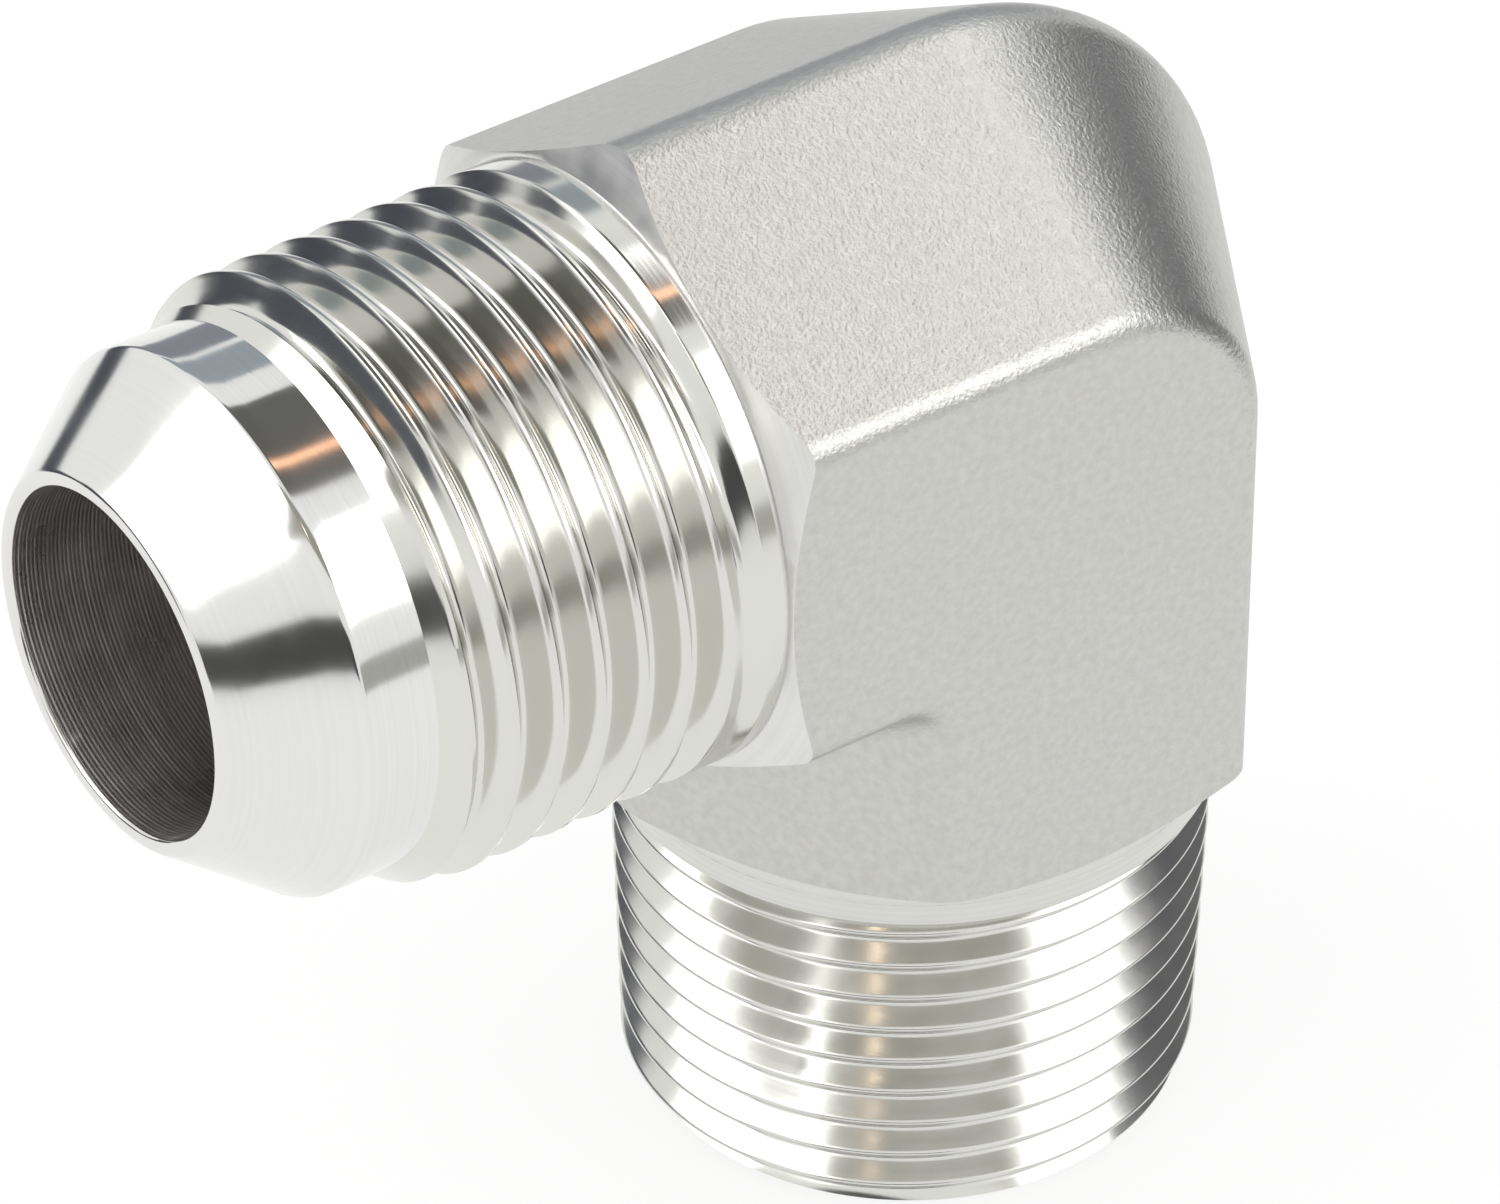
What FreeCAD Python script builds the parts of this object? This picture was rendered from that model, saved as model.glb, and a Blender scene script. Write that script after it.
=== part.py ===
import FreeCAD, Part
import math
import os
import Sketcher

os.makedirs("parts", exist_ok=True)

NODE = "elbow_body"

# Driving dimensions in millimetres and degrees. Legs and overruns are measured from the point
# where the two bore axes cross, and each shoulder's gap from the other arm's sharp corner. The
# thread's gap runs from the shoulder to its first whole crest. Thread diameters are over the
# crests, and the taper is change of diameter over length.
SIZES = {
    "across_flats": 27.4,
    "flat_edge_radius": 1.5,
    "ridge_radius": 2.6,
    "throat_radius": 2.5,
    "shoulder_angle": 30,
    "tube_leg": 40.8,
    "tube_shoulder_gap": 0.48,
    "tube_collar_dia": 27.2,
    "tube_thread_dia": 26.95,
    "tube_thread_pitch": 2.1167,
    "tube_thread_depth": 1.3,
    "tube_thread_gap": 1.57,
    "tube_lead_chamfer": 1.8,
    "tube_land_end": 8.1,
    "tube_land_dia": 24.2,
    "tube_nose_dia": 16.8,
    "bore_edge_chamfer": 0.2,
    "tube_cone_angle": 37,
    "tube_bore_dia": 15.47,
    "pipe_leg": 38.4,
    "pipe_shoulder_gap": 4.18,
    "pipe_collar_dia": 27.2,
    "pipe_collar_length": 1.7,
    "pipe_thread_end_dia": 25.6,
    "pipe_taper": 0.0625,
    "pipe_end_chamfer": 0.6,
    "pipe_bore_dia": 18.26,
    "bore_overrun": 3.0,
    "drill_point_angle": 59,
}

# Space that a cutting profile takes beyond the surface that it cuts, how far a shoulder cut
# passes the hexagon's corners, and how near two places are when they count as the same.
CUT_MARGIN = 1.0
CORNER_CLEARANCE = 0.3
TOUCH = 0.001

document = FreeCAD.newDocument("elbow_adapter")
sheet = document.addObject("Spreadsheet::Sheet", "Sizes")
for row, (alias, size) in enumerate(SIZES.items(), start=1):
    sheet.set(f"A{row}", alias)
    sheet.set(f"B{row}", str(size))
    sheet.setAlias(f"B{row}", alias)
document.recompute()

body = document.addObject("PartDesign::Body", NODE)
body.Label = NODE

# The numbers by which a sketch knows a line's ends, its own origin and its two axes
START_INDEX, END_INDEX = 1, 2
ORIGIN_INDEX = (-1, 1)
HORIZONTAL_INDEX, VERTICAL_INDEX = -1, -2


def value(expression):
    """The number that an expression on the sheet gives."""
    return float(body.evalExpression(expression))


def origin_plane(role):
    """The body's own origin plane with the given role."""
    for feature in body.Origin.OriginFeatures:
        if feature.Role == role:
            return feature
    raise RuntimeError(f"no origin plane {role}")


def new_sketch(name, plane):
    """A sketch on an origin plane, moved up so that its origin is where the bore axes cross."""
    sketch = body.newObject("Sketcher::SketchObject", name)
    sketch.AttachmentSupport = (origin_plane(plane), [""])
    sketch.MapMode = "FlatFace"
    up = "z" if plane == "XY_Plane" else "y"
    sketch.setExpression(f"AttachmentOffset.Base.{up}", "Sizes.pipe_leg")
    return sketch


def bind(sketch, constraint, name, expression):
    """Add a dimension to a sketch and drive it by an expression on the sheet."""
    index = sketch.addConstraint(constraint)
    sketch.renameConstraint(index, name)
    sketch.setExpression(f"Constraints.{name}", expression)


def place_point(sketch, line, name, direction, expression):
    """Hold the start of a line at a coordinate, which is an expression or "0" on the axis."""
    axis = VERTICAL_INDEX if direction == "DistanceX" else HORIZONTAL_INDEX
    if expression == "0":
        sketch.addConstraint(Sketcher.Constraint("PointOnObject", line, START_INDEX, axis))
        return
    coordinate = value(expression)
    if coordinate > 0:
        constraint = Sketcher.Constraint(direction, *ORIGIN_INDEX, line, START_INDEX, coordinate)
        bind(sketch, constraint, name, expression)
    else:
        constraint = Sketcher.Constraint(direction, line, START_INDEX, *ORIGIN_INDEX, -coordinate)
        bind(sketch, constraint, name, f"-({expression})")


def turned_profile(name, arm, corners):
    """The closed half profile of a turned form, from corners of (distance, radius) along an arm.

    The tube arm points along -X and the pipe arm along -Z, both away from the crossing."""
    sketch = new_sketch(name, "XZ_Plane")
    places = []
    for distance, radius in corners:
        outward = "0" if distance == "0" else f"-({distance})"
        places.append((outward, radius) if arm == "tube" else (radius, outward))
    points = [FreeCAD.Vector(value(across), value(up), 0) for across, up in places]
    for i, point in enumerate(points):
        sketch.addGeometry(Part.LineSegment(point, points[(i + 1) % len(points)]), False)
    for i, (across, up) in enumerate(places):
        following = (i + 1) % len(points)
        sketch.addConstraint(Sketcher.Constraint("Coincident", i, END_INDEX, following, START_INDEX))
        place_point(sketch, i, f"across_{i}", "DistanceX", across)
        place_point(sketch, i, f"up_{i}", "DistanceY", up)
    return sketch


def ridged_outline(name, plane, first_side, side_count):
    """A hexagon's outline, or the half of it above the sketch's axis when it has four sides.

    Sides are numbered by their outward normal, from first_side on, a sixth of a turn apart. The
    corners on the elbow's middle plane are rounded, and those beside the flats stay sharp."""
    sketch = new_sketch(name, plane)
    apothem = value("Sizes.across_flats / 2")
    sharp = apothem / math.cos(math.pi / 6)
    normals = [first_side + 60 * i for i in range(side_count)]
    half = side_count == 4
    corners = []
    for normal in normals:
        angle = math.radians(normal + 30)
        corners.append(FreeCAD.Vector(sharp * math.cos(angle), sharp * math.sin(angle), 0))
    if half:
        corners[-1] = FreeCAD.Vector(-apothem, 0, 0)
        corners.append(FreeCAD.Vector(apothem, 0, 0))
    count = len(corners)
    rounded = [i % 3 == 1 and not (half and i > 1) for i in range(count)]

    radius = value("Sizes.ridge_radius")
    trims = [radius * math.tan(math.pi / 6) if is_round else 0 for is_round in rounded]
    for i in range(count):
        before, after = corners[i - 1], corners[i]
        along = (after - before).normalize()
        line = Part.LineSegment(before + along * trims[i - 1], after - along * trims[i])
        sketch.addGeometry(line, False)
    for i in range(count):
        following = (i + 1) % count
        if not rounded[i]:
            sketch.addConstraint(Sketcher.Constraint("Coincident", i, END_INDEX, following, START_INDEX))
            continue
        centre = corners[i] * (1 - radius / apothem)
        circle = Part.Circle(centre, FreeCAD.Vector(0, 0, 1), radius)
        turn = math.radians(normals[i])
        arc = sketch.addGeometry(Part.ArcOfCircle(circle, turn, turn + math.pi / 3), False)
        sketch.addConstraint(Sketcher.Constraint("Tangent", i, END_INDEX, arc, START_INDEX))
        sketch.addConstraint(Sketcher.Constraint("Tangent", arc, END_INDEX, following, START_INDEX))
        bind(sketch, Sketcher.Constraint("Radius", arc, radius), f"ridge_{i}",
             "Sizes.ridge_radius")
    for i, normal in enumerate(normals):
        heading = math.radians(normal + 90)
        sketch.addConstraint(Sketcher.Constraint("Angle", i, heading))
        distance = Sketcher.Constraint("Distance", *ORIGIN_INDEX, i, apothem)
        bind(sketch, distance, f"side_{i}", "Sizes.across_flats / 2")
    if half:
        base = count - 1
        sketch.addConstraint(Sketcher.Constraint("PointOnObject", base, START_INDEX, HORIZONTAL_INDEX))
        sketch.addConstraint(Sketcher.Constraint("PointOnObject", base, END_INDEX, HORIZONTAL_INDEX))
    return sketch


def add_pad(name, sketch, length, reverse):
    """Extrude a sketch to a length from the sheet."""
    pad = body.newObject("PartDesign::Pad", name)
    pad.Profile = sketch
    pad.Reversed = reverse
    pad.setExpression("Length", length)
    document.recompute()
    return pad


def add_turned(kind, name, sketch, axis, angle=360):
    """Revolve a sketch about one of its own axes, to add or to cut material."""
    volume_before = body.Shape.Volume if body.Tip else 0
    feature = body.newObject(f"PartDesign::{kind}", name)
    feature.Profile = sketch
    feature.ReferenceAxis = (sketch, [axis])
    feature.Angle = angle
    document.recompute()
    change = body.Shape.Volume - volume_before
    if (change >= 0) if kind == "Groove" else (change <= 0):
        raise RuntimeError(f"{name} changed the volume by {change:.1f}")
    return feature


def add_fillet(name, base, test, radius):
    """Round the edges of a feature whose middle point passes a test."""
    edges = []
    for number, edge in enumerate(base.Shape.Edges, start=1):
        middle = edge.valueAt((edge.FirstParameter + edge.LastParameter) / 2)
        if edge.Length > TOUCH and test(middle):
            edges.append(f"Edge{number}")
    fillet = body.newObject("PartDesign::Fillet", name)
    fillet.Base = (base, edges)
    fillet.setExpression("Radius", radius)
    document.recompute()
    return fillet


# Forged elbow: two hexagonal arms, as long as forged, and the rounded outer corner between them
throat_reach = "Sizes.across_flats / sqrt(3) + Sizes.throat_radius"
shoulders = {arm: f"(Sizes.across_flats / sqrt(3) + Sizes.{arm}_shoulder_gap)"
             for arm in ("tube", "pipe")}
tube_stock = f"max({shoulders['tube']}; {throat_reach}) + {CUT_MARGIN}"
pipe_stock = f"max({shoulders['pipe']}; {throat_reach}) + {CUT_MARGIN}"
tube_section = ridged_outline("tube_arm_section", "YZ_Plane", 0, 6)
add_pad("tube_arm", tube_section, tube_stock, True)
pipe_section = ridged_outline("pipe_arm_section", "XY_Plane", 90, 6)
add_pad("pipe_arm", pipe_section, pipe_stock, True)
corner_section = ridged_outline("outer_corner_section", "YZ_Plane", 0, 4)
outer_corner = add_turned("Revolution", "outer_corner", corner_section, "H_Axis", 90)

crossing_height = value("Sizes.pipe_leg")
flat_place = value("Sizes.across_flats / 2")


def in_throat(middle):
    """A point on the plane halfway between the arms, on their undersides."""
    on_halfway_plane = abs(middle.x - (middle.z - crossing_height)) < TOUCH
    return on_halfway_plane and middle.x < 0 and abs(middle.y) < flat_place - TOUCH


def beside_flat(middle):
    """A point on an edge that runs along the front or back flat, and not across an arm's end."""
    on_flat = abs(abs(middle.y) - flat_place) < TOUCH
    on_tube_end = middle.x < TOUCH - value(tube_stock)
    on_pipe_end = middle.z < crossing_height - value(pipe_stock) + TOUCH
    return on_flat and not on_tube_end and not on_pipe_end


throat = add_fillet("throat_blend", outer_corner, in_throat, "Sizes.throat_radius")
add_fillet("flat_edges", throat, beside_flat, "Sizes.flat_edge_radius")

# Shoulders turned on both arms: the stock beyond them goes, and a cone trims the corners
corner_reach = f"(Sizes.across_flats / sqrt(3) + {CORNER_CLEARANCE})"


def shoulder_cut(arm):
    """What the tool removes at an arm's shoulder."""
    shoulder = shoulders[arm]
    collar = f"Sizes.{arm}_collar_dia / 2"
    rise = f"({corner_reach} - {collar}) * tan(Sizes.shoulder_angle)"
    beyond = (tube_stock if arm == "tube" else pipe_stock) + f" + {CUT_MARGIN}"
    return turned_profile(f"{arm}_shoulder_profile", arm, [
        (shoulder, "0"),
        (shoulder, collar),
        (f"{shoulder} - {rise}", corner_reach),
        (beyond, corner_reach),
        (beyond, "0"),
    ])


add_turned("Groove", "tube_shoulder_cut", shoulder_cut("tube"), "H_Axis")
add_turned("Groove", "pipe_shoulder_cut", shoulder_cut("pipe"), "V_Axis")


def pipe_thread_outside(place):
    """Radius of the pipe thread's cone at a distance from the crossing."""
    return f"Sizes.pipe_thread_end_dia / 2 + (Sizes.pipe_leg - {place}) * Sizes.pipe_taper / 2"


# Tube end: threaded cylinder, lead chamfer, land and sealing cone. The thread's turns are rings,
# as many as fit between the first whole crest and the chamfer.
crest_radius = "Sizes.tube_thread_dia / 2"
root_radius = f"({crest_radius} - Sizes.tube_thread_depth)"
land_radius = "Sizes.tube_land_dia / 2"
nose_radius = "Sizes.tube_nose_dia / 2"
land_end = "Sizes.tube_leg - Sizes.tube_land_end"
lead_start = f"({land_end} - Sizes.tube_lead_chamfer)"
cone_length = f"({land_radius} - {nose_radius}) / tan(Sizes.tube_cone_angle)"
first_crest = f"({shoulders['tube']} + Sizes.tube_thread_gap)"
ring_count = math.floor(value(f"({lead_start} - {first_crest}) / Sizes.tube_thread_pitch"))
thread_corners = [(first_crest, crest_radius)]
for ring in range(ring_count):
    thread_corners.append((f"{first_crest} + {ring + 0.5} * Sizes.tube_thread_pitch", root_radius))
    thread_corners.append((f"{first_crest} + {ring + 1} * Sizes.tube_thread_pitch", crest_radius))
tube_end_profile = turned_profile("tube_end_profile", "tube", [
    ("0", "0"),
    ("0", crest_radius),
    *thread_corners,
    (lead_start, crest_radius),
    (land_end, land_radius),
    (f"Sizes.tube_leg - {cone_length}", land_radius),
    ("Sizes.tube_leg", nose_radius),
    ("Sizes.tube_leg", "0"),
])
add_turned("Revolution", "tube_end", tube_end_profile, "H_Axis")

# Pipe end: collar, tapered thread's cone and end chamfer
collar_end = f"({shoulders['pipe']} + Sizes.pipe_collar_length)"
collar_radius = "Sizes.pipe_collar_dia / 2"
chamfer_start = "(Sizes.pipe_leg - Sizes.pipe_end_chamfer)"
pipe_end_profile = turned_profile("pipe_end_profile", "pipe", [
    ("0", "0"),
    ("0", collar_radius),
    (collar_end, collar_radius),
    (collar_end, pipe_thread_outside(collar_end)),
    (chamfer_start, pipe_thread_outside(chamfer_start)),
    ("Sizes.pipe_leg", "Sizes.pipe_thread_end_dia / 2 - Sizes.pipe_end_chamfer"),
    ("Sizes.pipe_leg", "0"),
])
add_turned("Revolution", "pipe_end", pipe_end_profile, "V_Axis")


def drilled_bore(arm):
    """A bore drilled from an arm's end to just past the crossing, its edge broken."""
    radius = f"Sizes.{arm}_bore_dia / 2"
    mouth = f"Sizes.{arm}_leg + {CUT_MARGIN}"
    corners = [
        (mouth, "0"),
        (mouth, f"{radius} + Sizes.bore_edge_chamfer + {CUT_MARGIN}"),
        (f"Sizes.{arm}_leg - Sizes.bore_edge_chamfer", radius),
        ("-Sizes.bore_overrun", radius),
        (f"-Sizes.bore_overrun - {radius} / tan(Sizes.drill_point_angle)", "0"),
    ]
    return turned_profile(f"{arm}_bore_profile", arm, corners)


add_turned("Groove", "tube_bore", drilled_bore("tube"), "H_Axis")
add_turned("Groove", "pipe_bore", drilled_bore("pipe"), "V_Axis")

# Every object is sound before anything is written
document.recompute()
for item in document.Objects:
    if "Invalid" in item.State or "Error" in item.State:
        raise RuntimeError(f"{item.Name} failed: {item.State}")
shape = body.Shape
if shape.isNull() or not shape.isValid() or len(shape.Solids) != 1:
    raise RuntimeError(f"{NODE} is not one valid solid")
shape.exportStep(f"parts/{body.Label}.step")
print(f"{NODE}: volume {shape.Volume:.1f} mm3, centre of mass {shape.Solids[0].CenterOfMass}")
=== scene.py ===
import math

import bmesh
import bpy
import numpy as np
from mathutils import Matrix, Vector


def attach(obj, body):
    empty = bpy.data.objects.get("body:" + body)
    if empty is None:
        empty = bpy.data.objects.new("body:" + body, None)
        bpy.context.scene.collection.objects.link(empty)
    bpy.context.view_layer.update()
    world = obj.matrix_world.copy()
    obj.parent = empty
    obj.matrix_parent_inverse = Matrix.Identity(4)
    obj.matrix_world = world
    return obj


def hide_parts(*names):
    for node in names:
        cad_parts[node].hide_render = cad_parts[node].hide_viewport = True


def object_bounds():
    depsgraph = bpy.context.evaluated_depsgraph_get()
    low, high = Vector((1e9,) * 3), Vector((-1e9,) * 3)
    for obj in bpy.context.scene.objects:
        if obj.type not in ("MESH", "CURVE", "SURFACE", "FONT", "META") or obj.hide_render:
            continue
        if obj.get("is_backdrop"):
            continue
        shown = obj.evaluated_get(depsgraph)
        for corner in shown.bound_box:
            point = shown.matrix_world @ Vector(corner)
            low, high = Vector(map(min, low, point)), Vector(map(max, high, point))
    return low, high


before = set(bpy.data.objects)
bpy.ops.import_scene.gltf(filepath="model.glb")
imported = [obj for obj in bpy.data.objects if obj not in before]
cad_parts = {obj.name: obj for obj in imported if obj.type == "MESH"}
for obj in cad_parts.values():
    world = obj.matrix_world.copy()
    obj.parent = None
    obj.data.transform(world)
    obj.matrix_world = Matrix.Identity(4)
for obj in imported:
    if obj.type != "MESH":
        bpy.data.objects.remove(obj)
cad_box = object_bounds()

MM = 0.001
PIECE = "elbow"
COLUMNS = 240
TURN = 2 * math.pi

# Heights and distances in millimetres. Distances along an arm run outward from the point where
# the bore axes cross, which is this high above the pipe end's face.
CROSSING_HEIGHT = 38.4

# Each arm's turned profile and thread. A flank is the tangent of its angle to the axis's normal, and
# the phase is where the middle of a groove stands at turn 0. The tube thread's groove fades in over
# fade_turns and is whole from the turn number whole_from_turn outward.
TUBE = {
    "start": 16.5,
    "blank": 13.475,
    "lead": 30.9,
    "land_start": 32.7,
    "land_radius": 12.1,
    "land_end": 35.89,
    "nose_radius": 8.4,
    "end": 40.8,
    "bore": 7.735,
    "pitch": 2.1167,
    "depth": 1.3,
    "crest": 0.26,
    "root": 0.3,
    "flank": math.tan(math.radians(30)),
    "phase": 18.677,
    "whole_from_turn": 0.12,
    "fade_turns": 0.55,
}
PIPE = {
    "start": 20.6,
    "blank": 13.6,
    "collar_end": 21.7,
    "collar_face_radius": 13.4,
    "end": 38.4,
    "end_radius": 12.8,
    "chamfer": 0.6,
    "taper": 1 / 32,
    "face_middle": 11.0,
    "bore": 9.13,
    "pitch": 1.8143,
    "depth": 0.88,
    "crest": 0.1,
    "root": 0.1,
    "flank": math.tan(math.radians(44)),
    "phase": 20.95,
}

# Widths over which the corners of the turned profiles are rounded
COLLAR_EDGE = 0.12
LAND_EDGE = 0.15
CONE_EDGE = 0.18
LIP = 0.25
CREST_BLEND = 0.06
LEAD_BLEND = 0.35

# Where rows of corners lie: on the land, on the cone as shares of its length, and in the bores
LAND_ROWS = (0.05, 1.2, 2.4)
CONE_ROWS = (0.2, 0.5, 0.8)
BORE_ROW_COUNT = 12
BORE_FIRST_ROW = 1.0

# Shoulders of the forging: distance out at the rim's radius, and slope of their cones
SHOULDERS = {"tube": 16.3, "pipe": 20.0}
SHOULDER_RADIUS = 13.6
CONE_SLOPE = math.tan(math.radians(30))

# Rows of corners across a groove, as parts of the pitch from its floor's edge and from its mouth
FLOOR_LEAST = 0.01
FLOOR_SHARE = 0.6
ROWS_FROM_FLOOR = (0, 0.03, 0.07)
ROWS_FROM_MOUTH = (0.06, 0.02, 0)

# How near counts as on a shoulder's cone, on a bore or in a rim's plane, and how far as clear of a bore
CONE_NEAR = 0.03
BORE_NEAR = 0.1
BORE_CLEAR = 0.5
RIM_NEAR = 2e-3
SAME_PLACE = 1e-4

# Where the drills end beyond the crossing, and a radius outside the whole forging
DRILL_END = -9
RIM_MOST = 20

SHARP_ANGLE = math.radians(34)


def soft_less(a, b, width):
    """The lesser of two values, with the corner between them rounded over a width."""
    mix = np.clip(0.5 + 0.5 * (b - a) / width, 0, 1)
    return b * (1 - mix) + a * mix - width * mix * (1 - mix)


def soft_more(a, b, width):
    """The greater of two values, with the corner between them rounded over a width."""
    return -soft_less(-a, -b, width)


def groove_radius(arm, across, outside):
    """Radius of a thread's section at a distance from the middle of its groove."""
    half_mouth = (arm["pitch"] - arm["crest"]) / 2
    flank = outside - (half_mouth - np.abs(across)) / arm["flank"]
    floor = outside - arm["depth"]
    return soft_less(soft_more(flank, floor, arm["root"]), outside, CREST_BLEND)


def groove_place(arm, along, turn):
    """Distance from the nearest groove's middle, and that groove's turn number."""
    count = np.round((along - arm["phase"]) / arm["pitch"] - turn)
    number = turn + count
    return along - arm["phase"] - arm["pitch"] * number, number


def tube_radius(along, turn):
    """Radius of the tube end's thread, fading out towards the shoulder, and of its lead chamfer."""
    across, number = groove_place(TUBE, along, turn)
    rise = np.clip((TUBE["whole_from_turn"] - number) / TUBE["fade_turns"], 0, 1)
    cut = 1 - rise * rise * (3 - 2 * rise)
    threaded = TUBE["blank"] - (TUBE["blank"] - groove_radius(TUBE, across, TUBE["blank"])) * cut
    slope = (TUBE["blank"] - TUBE["land_radius"]) / (TUBE["land_start"] - TUBE["lead"])
    chamfer = TUBE["land_radius"] + (TUBE["land_start"] - along) * slope
    outline = soft_less(np.full_like(along, TUBE["blank"]), chamfer, LEAD_BLEND)
    return np.maximum(np.minimum(threaded, outline), TUBE["land_radius"])


def pipe_radius(along, turn):
    """Radius of the tapered thread and of the chamfer at the pipe end."""
    across, _ = groove_place(PIPE, along, turn)
    cone = PIPE["end_radius"] + (PIPE["end"] - along) * PIPE["taper"]
    threaded = groove_radius(PIPE, across, cone)
    chamfer = PIPE["end_radius"] - PIPE["chamfer"] + (PIPE["end"] - along)
    return np.minimum(threaded, chamfer)


def section_steps(arm):
    """Places across one pitch, as parts of it, close together where the section bends."""
    half_mouth = (arm["pitch"] - arm["crest"]) / 2 / arm["pitch"]
    floor = max(half_mouth - arm["depth"] * arm["flank"] / arm["pitch"], FLOOR_LEAST)
    half = [floor * FLOOR_SHARE]
    half += [floor + part for part in ROWS_FROM_FLOOR]
    half += [(floor + half_mouth) / 2]
    half += [half_mouth - part for part in ROWS_FROM_MOUTH]
    half += [(half_mouth + 0.5) / 2]
    return sorted([-value for value in half] + [0] + half + [0.5])


class Shell:
    """A surface round an arm, built of rings that all have the same number of corners."""

    def __init__(self):
        self.places = []
        self.faces = []
        self.kinds = []

    def add_ring(self, along, radius):
        """One ring, whose distance and radius may change round it. Returns its corners."""
        first = len(self.places)
        turns = np.arange(COLUMNS) / COLUMNS
        rows = np.stack([np.broadcast_to(along, COLUMNS), np.broadcast_to(radius, COLUMNS), turns], 1)
        self.places.extend(rows.tolist())
        return list(range(first, first + COLUMNS))

    def join(self, ring, following, kind):
        """Faces between two rings."""
        for i in range(COLUMNS):
            j = (i + 1) % COLUMNS
            self.faces.append((ring[i], ring[j], following[j], following[i]))
            self.kinds.append(kind)

    def lathe(self, ring, corners, kind):
        """Turned surfaces that go on from a ring through corners of (distance, radius)."""
        for along, radius in corners:
            following = self.add_ring(along, radius)
            self.join(ring, following, kind)
            ring = following
        return ring

    def wind(self, arm, begin, finish, radius_at, kind):
        """A threaded surface whose rows of corners follow the helix, between two rings."""
        steps = section_steps(arm)
        per_turn = len(steps)
        low = math.floor((begin - arm["phase"]) / arm["pitch"]) - 2
        high = math.ceil((finish - arm["phase"]) / arm["pitch"]) + 1
        turns = np.arange(COLUMNS) / COLUMNS
        first_ring = self.add_ring(begin, radius_at(np.full(COLUMNS, begin), turns))
        last_ring = self.add_ring(finish, radius_at(np.full(COLUMNS, finish), turns))
        rows = []
        for number in range(low, high + 1):
            for step in steps:
                along = arm["phase"] + arm["pitch"] * (number + step + turns)
                radius = radius_at(along, turns)
                row = []
                for i in range(COLUMNS):
                    if along[i] <= begin + SAME_PLACE:
                        row.append(first_ring[i])
                    elif along[i] >= finish - SAME_PLACE:
                        row.append(last_ring[i])
                    else:
                        row.append(len(self.places))
                        self.places.append([along[i], radius[i], turns[i]])
                rows.append(row)
        for i in range(len(rows) - 1):
            for j in range(COLUMNS):
                if j + 1 < COLUMNS:
                    corners = (rows[i][j], rows[i][j + 1], rows[i + 1][j + 1], rows[i + 1][j])
                elif i + per_turn + 1 < len(rows):
                    corners = (rows[i][j], rows[i + per_turn][0], rows[i + per_turn + 1][0], rows[i + 1][j])
                else:
                    continue
                kept = [c for k, c in enumerate(corners) if c != corners[k - 1]]
                if len(set(kept)) >= 3:
                    self.faces.append(tuple(kept))
                    self.kinds.append(kind)
        return first_ring, last_ring


def rounded_corner(before, corner, after, radius, count=4):
    """Corners of (distance, radius) that round a profile's corner."""
    before, corner, after = (np.array(point, float) for point in (before, corner, after))
    start = corner + (before - corner) / np.linalg.norm(before - corner) * radius
    stop = corner + (after - corner) / np.linalg.norm(after - corner) * radius
    points = []
    for part in np.linspace(0, 1, count):
        points.append(tuple((1 - part) ** 2 * start + 2 * part * (1 - part) * corner + part ** 2 * stop))
    return points


def tube_place(along, radius, turn):
    """Tube end: outward is -X, and turns run from the top towards the back."""
    angle = TURN * turn
    return np.stack([-along, radius * np.sin(angle), radius * np.cos(angle) + CROSSING_HEIGHT], 1)


def pipe_place(along, radius, turn):
    """Pipe end: outward is -Z, and turns run from +X towards the front."""
    angle = TURN * turn
    return np.stack([radius * np.cos(angle), -radius * np.sin(angle), CROSSING_HEIGHT - along], 1)


def bore_corners(arm):
    """The wall of an arm's bore, from its mouth inward."""
    places = np.linspace(arm["end"] - BORE_FIRST_ROW, arm["start"], BORE_ROW_COUNT)
    return [(along, arm["bore"]) for along in places]


def add_shell(bm, shell, place):
    """Puts a shell's corners and faces into the piece. Returns its corners."""
    rows = np.array(shell.places)
    points = place(rows[:, 0], rows[:, 1], rows[:, 2]) * MM
    corners = [bm.verts.new(point) for point in points]
    for face, kind in zip(shell.faces, shell.kinds):
        made = bm.faces.new([corners[i] for i in face])
        made.material_index = slots[kind]
        made.smooth = True
    return corners


def tube_shell():
    """The tube end: blank, thread, lead chamfer, land, sealing cone, nose and bore."""
    shell = Shell()
    land_start = (TUBE["land_start"], TUBE["land_radius"])
    land_corner = (TUBE["land_end"], TUBE["land_radius"])
    nose_corner = (TUBE["end"], TUBE["nose_radius"])
    mouth_corner = (TUBE["end"], TUBE["bore"])
    bore_end = (TUBE["start"], TUBE["bore"])
    land = [(TUBE["land_start"] + part, TUBE["land_radius"]) for part in LAND_ROWS]
    land += rounded_corner(land_start, land_corner, nose_corner, LAND_EDGE)
    cone_start, cone_stop = np.array(land_corner), np.array(nose_corner)
    cone = [tuple(cone_start + (cone_stop - cone_start) * part) for part in CONE_ROWS]
    cone += rounded_corner(land_corner, nose_corner, mouth_corner, CONE_EDGE)
    cone += rounded_corner(nose_corner, mouth_corner, bore_end, LIP, 6)
    first, ring = shell.wind(TUBE, TUBE["start"], TUBE["land_start"], tube_radius, "tube_thread")
    ring = shell.lathe(ring, land, "tube_land")
    ring = shell.lathe(ring, cone, "tube_cone")
    ring = shell.lathe(ring, bore_corners(TUBE), "tube_bore")
    return shell, first, ring


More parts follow.
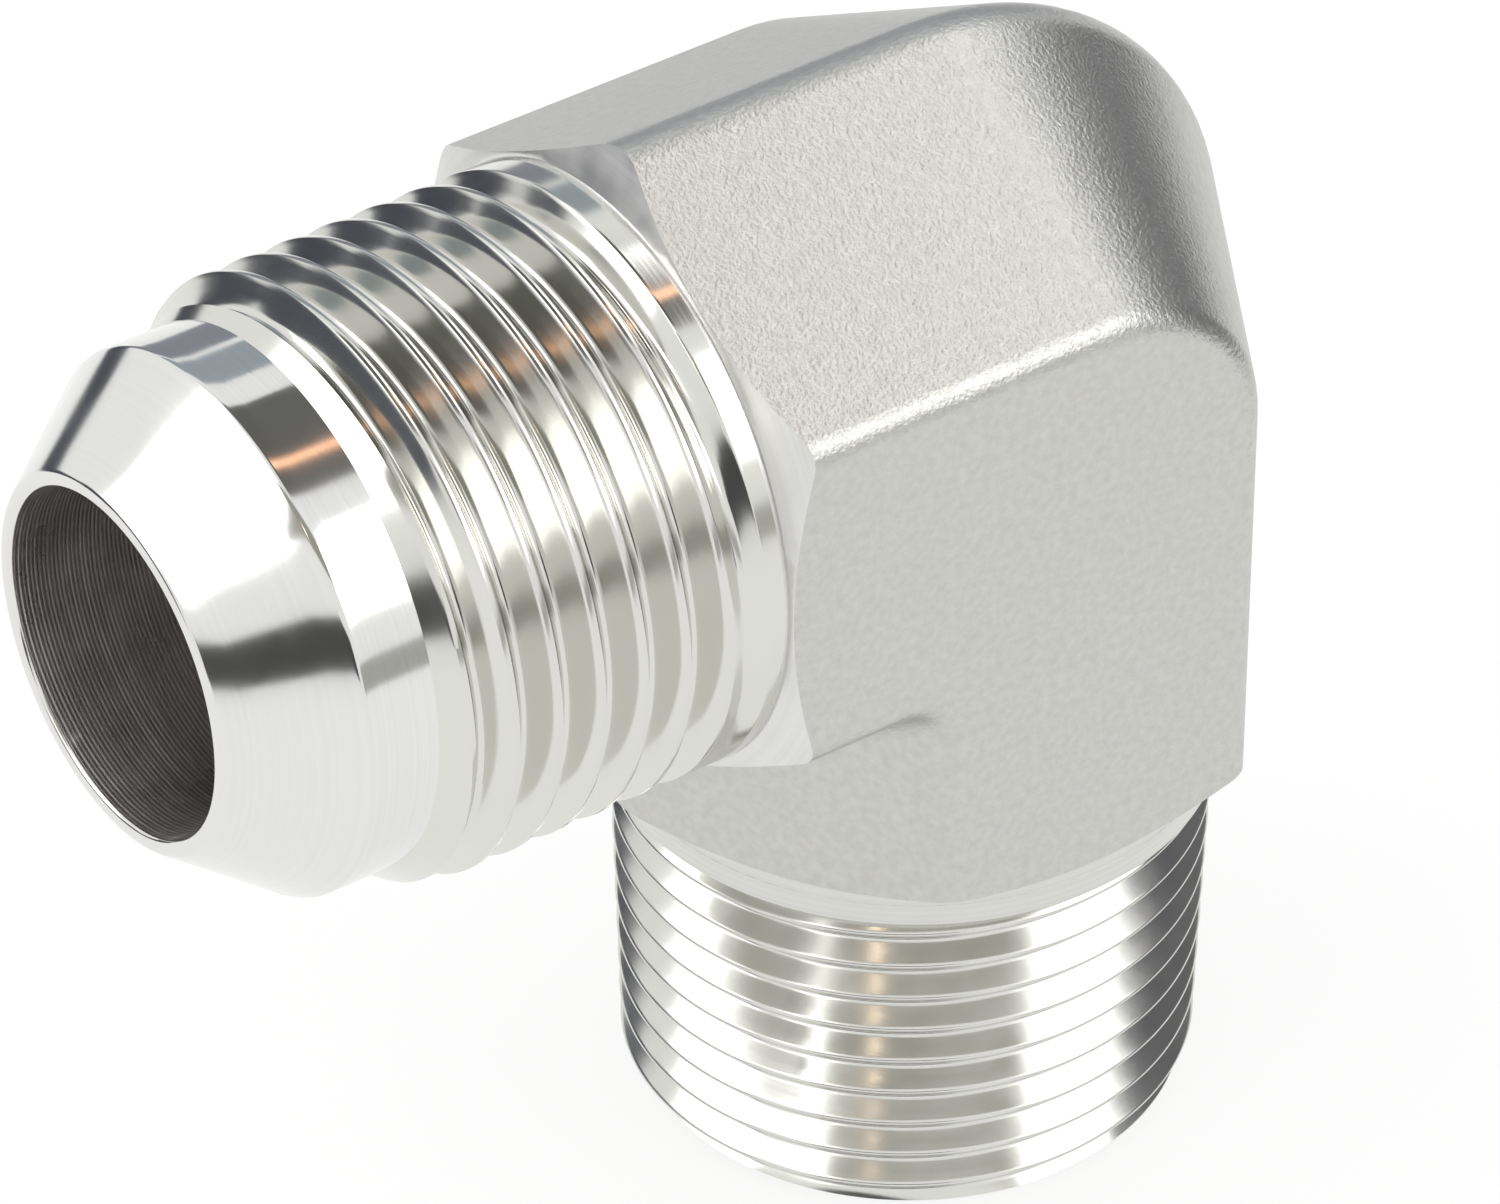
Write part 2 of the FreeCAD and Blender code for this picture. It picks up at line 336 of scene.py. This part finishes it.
def pipe_shell():
    """The pipe end: collar, tapered thread, end face and bore."""
    shell = Shell()
    collar_start = (PIPE["start"], PIPE["blank"])
    collar_corner = (PIPE["collar_end"], PIPE["blank"])
    collar_face = (PIPE["collar_end"], PIPE["collar_face_radius"])
    face_middle = (PIPE["end"], PIPE["face_middle"])
    mouth_corner = (PIPE["end"], PIPE["bore"])
    bore_end = (PIPE["start"], PIPE["bore"])
    collar = rounded_corner(collar_start, collar_corner, collar_face, COLLAR_EDGE) + [collar_face]
    end_face = [face_middle] + rounded_corner(face_middle, mouth_corner, bore_end, LIP, 5)
    first = shell.add_ring(PIPE["start"], PIPE["blank"])
    ring = shell.lathe(first, collar, "pipe_collar")
    top, bottom = shell.wind(PIPE, PIPE["collar_end"], PIPE["end"], pipe_radius, "pipe_thread")
    shell.join(ring, top, "pipe_thread")
    ring = shell.lathe(bottom, end_face, "pipe_collar")
    ring = shell.lathe(ring, bore_corners(PIPE), "pipe_bore")
    return shell, first, ring


def cut_away(bm, outward, place):
    """Removes what lies beyond a plane across an arm."""
    bmesh.ops.bisect_plane(
        bm, geom=bm.verts[:] + bm.edges[:] + bm.faces[:], dist=1e-8,
        plane_co=place, plane_no=outward, clear_outer=True, clear_inner=False)


def tube_distance(point):
    """Distance along the tube end from the crossing, in millimetres."""
    return -point.x / MM


def pipe_distance(point):
    """Distance along the pipe end from the crossing, in millimetres."""
    return CROSSING_HEIGHT - point.z / MM


def from_tube_axis(point):
    """Distance from the tube end's axis in millimetres."""
    return math.hypot(point.y, point.z - CROSSING_HEIGHT * MM) / MM


def from_pipe_axis(point):
    """Distance from the pipe end's axis in millimetres."""
    return math.hypot(point.x, point.y) / MM


def rim_edges(bm, arm, distance, from_axis, least, most):
    """Open edges in an arm's cutting plane whose ends lie within a range of radii."""
    edges = []
    for edge in bm.edges:
        if not edge.is_boundary:
            continue
        in_plane = all(abs(distance(v.co) - arm["start"]) < RIM_NEAR for v in edge.verts)
        if in_plane and all(least < from_axis(v.co) < most for v in edge.verts):
            edges.append(edge)
    return edges


def on_shoulder(face, shoulder, distance, from_axis):
    """Whether all corners of a face lie on a shoulder's turned cone, or out past its rim."""
    for vert in face.verts:
        out = distance(vert.co)
        cone = shoulder - (from_axis(vert.co) - SHOULDER_RADIUS) * CONE_SLOPE
        if abs(out - cone) >= CONE_NEAR and out <= shoulder - CONE_NEAR:
            return False
    return True


def forged_kind(face):
    """Which finish a face of the forging has: shoulder, bore or as forged."""
    centre = face.calc_center_median()
    tube_radius_here = from_tube_axis(centre)
    pipe_radius_here = from_pipe_axis(centre)
    outside_tube_bore = tube_radius_here > TUBE["bore"] + BORE_CLEAR
    outside_pipe_bore = pipe_radius_here > PIPE["bore"] + BORE_CLEAR
    if outside_tube_bore and on_shoulder(face, SHOULDERS["tube"], tube_distance, from_tube_axis):
        return "tube_shoulder"
    if outside_pipe_bore and on_shoulder(face, SHOULDERS["pipe"], pipe_distance, from_pipe_axis):
        return "pipe_collar"
    in_tube_bore = tube_radius_here < TUBE["bore"] + BORE_NEAR and tube_distance(centre) > DRILL_END
    in_pipe_bore = pipe_radius_here < PIPE["bore"] + BORE_NEAR and pipe_distance(centre) > DRILL_END
    if in_tube_bore and pipe_radius_here > PIPE["bore"] - BORE_NEAR:
        return "tube_bore"
    if in_pipe_bore:
        return "pipe_bore"
    return "forged"


def named_material(name):
    """A new material with its Principled shader, node tree and links."""
    material = bpy.data.materials.new(name)
    material.use_nodes = True
    nodes = material.node_tree.nodes
    return material, nodes, material.node_tree.links, nodes["Principled BSDF"]


def forged_steel():
    """Bead-blasted forging skin: fine dimples all over, and a faint mottle."""
    material, nodes, links, shader = named_material("forged_steel")
    shader.inputs["Metallic"].default_value = 1.0
    shader.inputs["Roughness"].default_value = 0.36

    place = nodes.new("ShaderNodeTexCoord")
    mottle = nodes.new("ShaderNodeTexNoise")
    mottle.inputs["Scale"].default_value = 2400
    mottle.inputs["Detail"].default_value = 3
    links.new(place.outputs["Object"], mottle.inputs["Vector"])
    tone = nodes.new("ShaderNodeValToRGB")
    tone.color_ramp.elements[0].position = 0.3
    tone.color_ramp.elements[0].color = (0.56, 0.557, 0.533, 1)
    tone.color_ramp.elements[1].position = 0.7
    tone.color_ramp.elements[1].color = (0.63, 0.627, 0.60, 1)
    links.new(mottle.outputs["Fac"], tone.inputs["Fac"])
    links.new(tone.outputs["Color"], shader.inputs["Base Color"])

    dimples = nodes.new("ShaderNodeTexNoise")
    dimples.inputs["Scale"].default_value = 5200
    dimples.inputs["Detail"].default_value = 2.5
    links.new(place.outputs["Object"], dimples.inputs["Vector"])
    bump = nodes.new("ShaderNodeBump")
    bump.inputs["Strength"].default_value = 1.0
    bump.inputs["Distance"].default_value = 0.04 * MM
    links.new(dimples.outputs["Fac"], bump.inputs["Height"])
    links.new(bump.outputs["Normal"], shader.inputs["Normal"])
    return material


# A wave texture runs through this many radians per unit and scale
WAVE_FACTOR = 20
RING_SHARE = 0.45


def turned_steel(name, axis, color, roughness, line_scale, line_depth, streak=0.0, ring_pitch=0.0):
    """Machined surface with fine lines round an arm's axis, and a drill's even rings at a ring pitch."""
    material, nodes, links, shader = named_material(name)
    shader.inputs["Metallic"].default_value = 1.0
    shader.inputs["Anisotropic"].default_value = 0.5

    place = nodes.new("ShaderNodeTexCoord")
    split = nodes.new("ShaderNodeSeparateXYZ")
    links.new(place.outputs["Object"], split.inputs["Vector"])
    lines = nodes.new("ShaderNodeTexNoise")
    lines.noise_dimensions = "1D"
    lines.inputs["Scale"].default_value = line_scale
    lines.inputs["Detail"].default_value = 2
    lines.inputs["Roughness"].default_value = 0.65
    links.new(split.outputs[axis], lines.inputs["W"])
    pattern = lines.outputs["Fac"]
    if ring_pitch:
        rings = nodes.new("ShaderNodeTexWave")
        rings.wave_type = "BANDS"
        rings.bands_direction = axis
        rings.inputs["Scale"].default_value = TURN / (WAVE_FACTOR * ring_pitch * MM)
        links.new(place.outputs["Object"], rings.inputs["Vector"])
        blend = nodes.new("ShaderNodeMix")
        blend.inputs["Factor"].default_value = RING_SHARE
        links.new(pattern, blend.inputs["A"])
        links.new(rings.outputs["Fac"], blend.inputs["B"])
        pattern = blend.outputs["Result"]
    wear = nodes.new("ShaderNodeTexNoise")
    wear.inputs["Scale"].default_value = 260
    wear.inputs["Detail"].default_value = 3
    links.new(place.outputs["Object"], wear.inputs["Vector"])

    gloss = nodes.new("ShaderNodeMapRange")
    gloss.inputs["From Min"].default_value = 0.3
    gloss.inputs["From Max"].default_value = 0.7
    gloss.inputs["To Min"].default_value = roughness * 0.8
    gloss.inputs["To Max"].default_value = roughness * 1.35
    links.new(wear.outputs["Fac"], gloss.inputs["Value"])
    links.new(gloss.outputs["Result"], shader.inputs["Roughness"])

    tone = nodes.new("ShaderNodeValToRGB")
    tone.color_ramp.elements[0].position = 0.35
    tone.color_ramp.elements[0].color = tuple(part * (1 - streak) for part in color) + (1,)
    tone.color_ramp.elements[1].position = 0.62
    tone.color_ramp.elements[1].color = tuple(color) + (1,)
    links.new(pattern, tone.inputs["Fac"])
    links.new(tone.outputs["Color"], shader.inputs["Base Color"])

    bump = nodes.new("ShaderNodeBump")
    bump.inputs["Strength"].default_value = 0.6
    bump.inputs["Distance"].default_value = line_depth * MM
    links.new(pattern, bump.inputs["Height"])
    links.new(bump.outputs["Normal"], shader.inputs["Normal"])
    tangent = nodes.new("ShaderNodeTangent")
    tangent.direction_type = "RADIAL"
    tangent.axis = axis
    links.new(tangent.outputs["Tangent"], shader.inputs["Tangent"])
    return material


STEEL = (0.76, 0.757, 0.74)
# Bore steel is paler than the turned steel: painted light that lightens the bores, which lie in shade
BORE_STEEL_PAINTED_LIGHT = (0.9, 0.88, 0.865)
THREAD_STEEL = (0.70, 0.697, 0.66)
COLLAR_STEEL = (0.69, 0.69, 0.66)

# Turned finishes: name, axis, colour, roughness, scale and depth of the lines, streaks, ring pitch
materials = {
    "forged": forged_steel(),
    "tube_thread": turned_steel("tube_thread_steel", "X", THREAD_STEEL, 0.12, 2400, 0.0015),
    "tube_land": turned_steel("tube_land_steel", "X", STEEL, 0.09, 5000, 0.002, 0.03),
    "tube_cone": turned_steel("tube_cone_steel", "X", STEEL, 0.11, 4000, 0.001, 0.02),
    # Both bore finishes take the paler bore steel, painted light for the shaded bores
    "tube_bore": turned_steel("tube_bore_steel_painted_light", "X", BORE_STEEL_PAINTED_LIGHT, 0.3, 3000, 0.03, 0.3, 0.2),
    "tube_shoulder": turned_steel("tube_shoulder_steel", "X", STEEL, 0.3, 4000, 0.003, 0.05),
    "pipe_thread": turned_steel("pipe_thread_steel", "Z", THREAD_STEEL, 0.17, 2400, 0.0015),
    "pipe_collar": turned_steel("pipe_collar_steel", "Z", COLLAR_STEEL, 0.2, 4000, 0.003, 0.04),
    "pipe_bore": turned_steel("pipe_bore_steel_painted_light", "Z", BORE_STEEL_PAINTED_LIGHT, 0.3, 3000, 0.03, 0.3, 0.2),
}
slots = {kind: number for number, kind in enumerate(materials)}

# For each arm: its sizes, turned end and place, distance out, distance from the axis, and the
# finishes where its outer and inner ring meet the forging
ARMS = (
    (TUBE, tube_shell, tube_place, tube_distance, from_tube_axis, "tube_thread", "tube_bore"),
    (PIPE, pipe_shell, pipe_place, pipe_distance, from_pipe_axis, "pipe_collar", "pipe_bore"),
)


def forging():
    """The forging of the CAD solid, cut off where the turned ends go on."""
    bm = bmesh.new()
    bm.from_mesh(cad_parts["elbow_body"].data)
    bmesh.ops.remove_doubles(bm, verts=bm.verts[:], dist=1e-7)
    cut_away(bm, Vector((-1, 0, 0)), Vector((-TUBE["start"] * MM, 0, 0)))
    cut_away(bm, Vector((0, 0, -1)), Vector((0, 0, (CROSSING_HEIGHT - PIPE["start"]) * MM)))
    for face in bm.faces:
        face.smooth = True
        face.material_index = slots[forged_kind(face)]
    return bm


def join_end(bm, arm, build, place, distance, from_axis, outer_kind, inner_kind):
    """Adds an arm's turned end and bridges its outer and inner ring to the forging's rims."""
    middle = (arm["bore"] + arm["blank"]) / 2
    outer_rim = rim_edges(bm, arm, distance, from_axis, middle, RIM_MOST)
    inner_rim = rim_edges(bm, arm, distance, from_axis, 0, middle)
    shell, first, last = build()
    corners = add_shell(bm, shell, place)
    for rim, ring, kind in ((outer_rim, first, outer_kind), (inner_rim, last, inner_kind)):
        ring_edges = []
        for i in range(COLUMNS):
            ring_edges.append(bm.edges.get((corners[ring[i]], corners[ring[(i + 1) % COLUMNS]])))
        bridged = bmesh.ops.bridge_loops(bm, edges=rim + ring_edges)
        for face in bridged["faces"]:
            face.material_index = slots[kind]
            face.smooth = True


def elbow_mesh():
    """The elbow as one closed mesh: the forging with both threaded ends."""
    bm = forging()
    for arm in ARMS:
        join_end(bm, *arm)
    bmesh.ops.dissolve_degenerate(bm, dist=1e-8, edges=bm.edges[:])
    bmesh.ops.recalc_face_normals(bm, faces=bm.faces[:])
    for edge in bm.edges:
        if len(edge.link_faces) == 2 and edge.calc_face_angle(0) > SHARP_ANGLE:
            edge.smooth = False
    open_edges = sum(1 for edge in bm.edges if not edge.is_manifold)
    mesh = bpy.data.meshes.new(PIECE)
    bm.to_mesh(mesh)
    bm.free()
    for material in materials.values():
        mesh.materials.append(material)
    print("elbow faces", len(mesh.polygons), "open edges", open_edges)
    return mesh


elbow = bpy.data.objects.new(PIECE, elbow_mesh())
bpy.context.scene.collection.objects.link(elbow)
even = elbow.modifiers.new("even_shading", "WEIGHTED_NORMAL")
even.keep_sharp = True
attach(elbow, "root")
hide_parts("elbow_body")


def add_plane(name, size, material):
    """A rectangle of the studio, which isn't part of the elbow."""
    width, height = size[0] / 2, size[1] / 2
    sheet = bpy.data.meshes.new(name)
    sheet.from_pydata([(-width, -height, 0), (width, -height, 0), (width, height, 0), (-width, height, 0)],
                      [], [(0, 1, 2, 3)])
    sheet.materials.append(material)
    plane = bpy.data.objects.new(name, sheet)
    bpy.context.scene.collection.objects.link(plane)
    plane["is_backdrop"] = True
    return plane


def seen_or_mirrored(nodes, links):
    """A value that is 1 for rays from the camera and for those that metal or glass sends on."""
    ray = nodes.new("ShaderNodeLightPath")
    value = ray.outputs["Is Camera Ray"]
    for other in ("Is Glossy Ray", "Is Transmission Ray"):
        either = nodes.new("ShaderNodeMath")
        either.operation = "MAXIMUM"
        links.new(value, either.inputs[0])
        links.new(ray.outputs[other], either.inputs[1])
        value = either.outputs["Value"]
    return value


def pale_floor():
    """Matte white that the camera and the metal see as white, with a little of each shadow."""
    material, nodes, links, shader = named_material("pale_floor")
    shader.inputs["Base Color"].default_value = (0.9, 0.9, 0.89, 1)
    shader.inputs["Roughness"].default_value = 0.9
    glow = nodes.new("ShaderNodeEmission")
    share = nodes.new("ShaderNodeMath")
    share.operation = "MULTIPLY"
    share.inputs[1].default_value = FLOOR_GLOW
    blend = nodes.new("ShaderNodeMixShader")
    links.new(seen_or_mirrored(nodes, links), share.inputs[0])
    links.new(share.outputs["Value"], blend.inputs["Fac"])
    links.new(shader.outputs["BSDF"], blend.inputs[1])
    links.new(glow.outputs["Emission"], blend.inputs[2])
    links.new(blend.outputs["Shader"], nodes["Material Output"].inputs["Surface"])
    return material


FLOOR_SIZE = (4, 4)
FLOOR_GLOW = 0.8
add_plane("floor", FLOOR_SIZE, pale_floor())

# World: white for the camera and in reflections, a plain grey light for the rest
world = bpy.data.worlds.new("studio")
bpy.context.scene.world = world
world.use_nodes = True
nodes, links = world.node_tree.nodes, world.node_tree.links
plain = nodes["Background"]
plain.inputs["Color"].default_value = (0.9, 0.9, 0.9, 1)
white = nodes.new("ShaderNodeBackground")
white.inputs["Color"].default_value = (1, 1, 1, 1)
blend = nodes.new("ShaderNodeMixShader")
links.new(seen_or_mirrored(nodes, links), blend.inputs["Fac"])
links.new(plain.outputs["Background"], blend.inputs[1])
links.new(white.outputs["Background"], blend.inputs[2])
links.new(blend.outputs["Shader"], nodes["World Output"].inputs["Surface"])

CENTRE = Vector((0, 0, CROSSING_HEIGHT * MM))


def face_elbow(item, direction, distance):
    """Puts a card or lamp out in a direction from the elbow and turns it to face the elbow."""
    away = Vector(direction).normalized()
    item.location = CENTRE + away * distance
    item.rotation_euler = away.to_track_quat("Z", "Y").to_euler()


def add_card(name, size, color, strength=1.0):
    """A coloured studio card that only the metal mirrors."""
    material, nodes, links, shader = named_material(name)
    glow = nodes.new("ShaderNodeEmission")
    glow.inputs["Color"].default_value = color + (1,)
    glow.inputs["Strength"].default_value = strength
    links.new(glow.outputs["Emission"], nodes["Material Output"].inputs["Surface"])
    nodes.remove(shader)
    card = add_plane(name, size, material)
    card.visible_camera = False
    card.visible_shadow = False
    card.visible_diffuse = False
    return card


def add_panel(name, direction, distance, size, radiance):
    """A soft panel lamp, as bright as radiance times a white card."""
    lamp = bpy.data.lights.new(name, "AREA")
    lamp.shape = "RECTANGLE"
    lamp.size, lamp.size_y = size
    lamp.energy = radiance * math.pi * size[0] * size[1]
    panel = bpy.data.objects.new(name, lamp)
    bpy.context.scene.collection.objects.link(panel)
    face_elbow(panel, direction, distance)


# Cards round the elbow: name, direction, distance in metres, width and height, colour
for name, direction, distance, size, color in (
    ("back_low_card", (-0.40, 0.90, -0.05), 0.20, (0.24, 0.045), (0.07, 0.075, 0.095)),
    ("left_back_card", (-0.86, 0.45, 0.08), 0.40, (0.36, 0.12), (0.10, 0.105, 0.125)),
    ("back_right_card", (0.50, 0.86, 0.14), 0.40, (0.40, 0.16), (0.28, 0.29, 0.33)),
    ("back_high_card", (0.40, 0.72, 0.52), 0.42, (0.46, 0.14), (0.36, 0.41, 0.45)),
    ("front_left_card", (-0.70, -0.70, 0.14), 0.40, (0.36, 0.12), (0.07, 0.07, 0.07)),
    ("front_card", (0.40, -0.90, 0.0), 0.40, (0.34, 0.08), (0.45, 0.45, 0.43)),
    ("right_card", (0.94, -0.12, 0.22), 0.40, (0.46, 0.32), (0.13, 0.13, 0.145)),
    ("near_card", (-0.28, -0.49, 0.82), 0.38, (0.45, 0.17), (0.38, 0.38, 0.335)),
    ("right_low_card", (0.92, -0.36, -0.08), 0.13, (0.11, 0.05), (0.15, 0.15, 0.16)),
):
    face_elbow(add_card(name, size, color), direction, distance)

# A small warm lamp that the pipe thread's turns mirror
warm_lamp = add_card("warm_lamp", (0.016, 0.03), (1.0, 0.76, 0.56), 5.0)
face_elbow(warm_lamp, (-0.53, -0.42, 0.75), 0.36)

# Cards that hang level overhead: name, place, length along X and along Y, colour, strength
for name, place, size, color, strength in (
    ("overhead_card", (0.09, 0.06, 0.43), (0.20, 0.34), (0.14, 0.14, 0.135), 1.0),
    ("warm_strip", (0.13, -0.008, 0.42), (0.12, 0.024), (1.0, 0.56, 0.34), 2.0),
):
    add_card(name, size, color, strength).location = place

# Soft lamps: name, direction, distance in metres, width and height, radiance
add_panel("left_panel", (-0.60, 0.15, 0.72), 0.5, (0.60, 0.30), 1.6)
add_panel("front_panel", (0.42, -0.66, 0.60), 0.5, (0.36, 0.30), 1.55)
add_panel("high_panel", (0.52, 0.10, 0.85), 0.5, (0.24, 0.09), 2.0)
add_panel("left_side_panel", (-0.81, 0.42, 0.42), 0.5, (0.30, 0.14), 1.5)
add_panel("back_left_panel", (-0.35, 0.50, 0.80), 0.5, (0.16, 0.16), 1.8)

# Camera at the photograph's viewing angle
YAW, PITCH, ROLL = math.radians(35.421), math.radians(37.308), math.radians(0.268)
CAMERA_FROM_CROSSING = Vector((-0.210433, -0.283631, 0.254449))
LENS = 244.57
SENSOR_WIDTH = 36


def add_camera():
    """A camera that looks along the photograph's yaw and pitch, with its slight roll."""
    forward = Vector((math.sin(YAW) * math.cos(PITCH), math.cos(YAW) * math.cos(PITCH), -math.sin(PITCH)))
    level = Vector((math.cos(YAW), -math.sin(YAW), 0))
    upright = level.cross(forward)
    right = level * math.cos(ROLL) + upright * math.sin(ROLL)
    up = upright * math.cos(ROLL) - level * math.sin(ROLL)
    data = bpy.data.cameras.new("camera")
    data.sensor_fit = "HORIZONTAL"
    data.sensor_width = SENSOR_WIDTH
    data.lens = LENS
    data.clip_start = 0.01
    camera = bpy.data.objects.new("camera", data)
    turn = Matrix((right, up, -forward)).transposed().to_4x4()
    camera.matrix_world = Matrix.Translation(CENTRE + CAMERA_FROM_CROSSING) @ turn
    bpy.context.scene.collection.objects.link(camera)
    return camera


bpy.context.scene.camera = add_camera()
bpy.context.scene.view_settings.view_transform = "Standard"

size = {"cad": [list(corner) for corner in cad_box], "visual": [list(corner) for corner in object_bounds()]}
